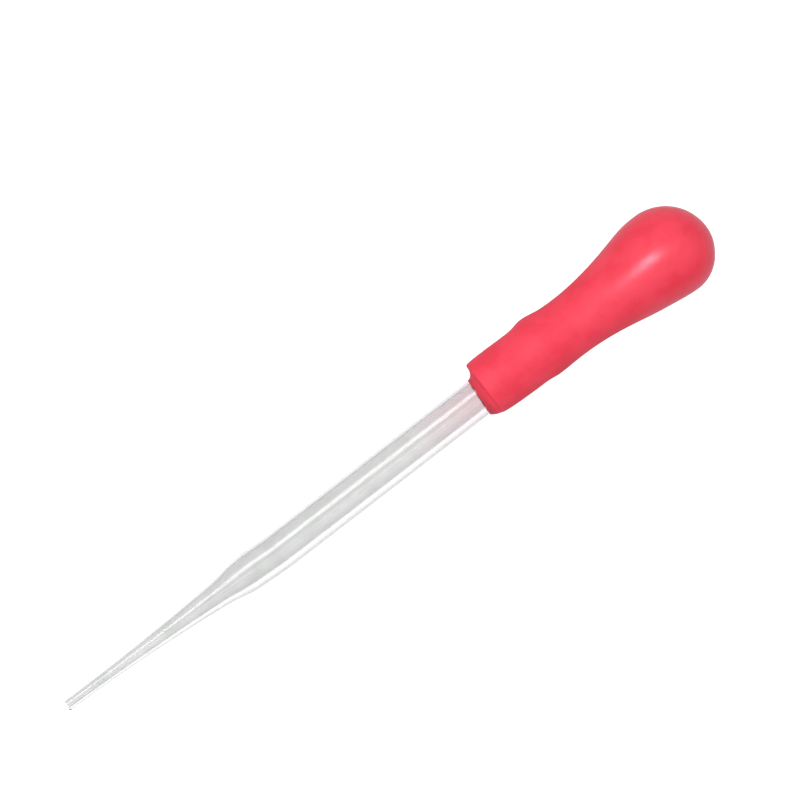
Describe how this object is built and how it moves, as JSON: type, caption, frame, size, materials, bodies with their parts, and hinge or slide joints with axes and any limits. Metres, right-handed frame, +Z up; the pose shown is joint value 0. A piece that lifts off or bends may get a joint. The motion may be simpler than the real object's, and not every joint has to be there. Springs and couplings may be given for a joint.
{
  "type": "medicine dropper",
  "caption": "Glass dropper tube drawn out to a fine tip, with a moulded rubber bulb gripping its other end; the bulb squeezes and pulls off.",
  "frame": {"origin": "on the table that the dropper lies on, under the middle of its length", "axes": "+X towards the bulb along the table, +Y across the dropper, along which the bulb is squeezed, +Z up; the dropper's own axis lies in the XZ plane and leans 3.13 degrees up towards the bulb"},
  "size_m": [0.1494, 0.018, 0.018],
  "materials": {
    "glass": "clear drawn soda-lime glass, fire-polished ends",
    "rubber": "satin coral-red natural rubber"
  },
  "bodies": {
    "tube": {"glass_tube": "glass"},
    "bulb": {"rubber_bulb": "rubber"},
    "thumb_wall": {"thumb_wall": "rubber"},
    "finger_wall": {"finger_wall": "rubber"}
  },
  "joints": [
    {"name": "bulb_pull_off", "type": "slide", "parent": "tube", "child": "bulb", "axis": [0.9985, 0, 0.0546], "range_m": [0, 0.025]},
    {"name": "thumb_squeeze", "type": "slide", "parent": "bulb", "child": "thumb_wall", "axis": [0, 1, 0], "range_m": [0, 0.004], "stiffness_N_per_m": 900},
    {"name": "finger_squeeze", "type": "slide", "parent": "bulb", "child": "finger_wall", "axis": [0, -1, 0], "range_m": [0, 0.004], "stiffness_N_per_m": 900}
  ],
  "couplings": [
    {"joint": "finger_squeeze", "follows": "thumb_squeeze", "ratio": 1}
  ]
}
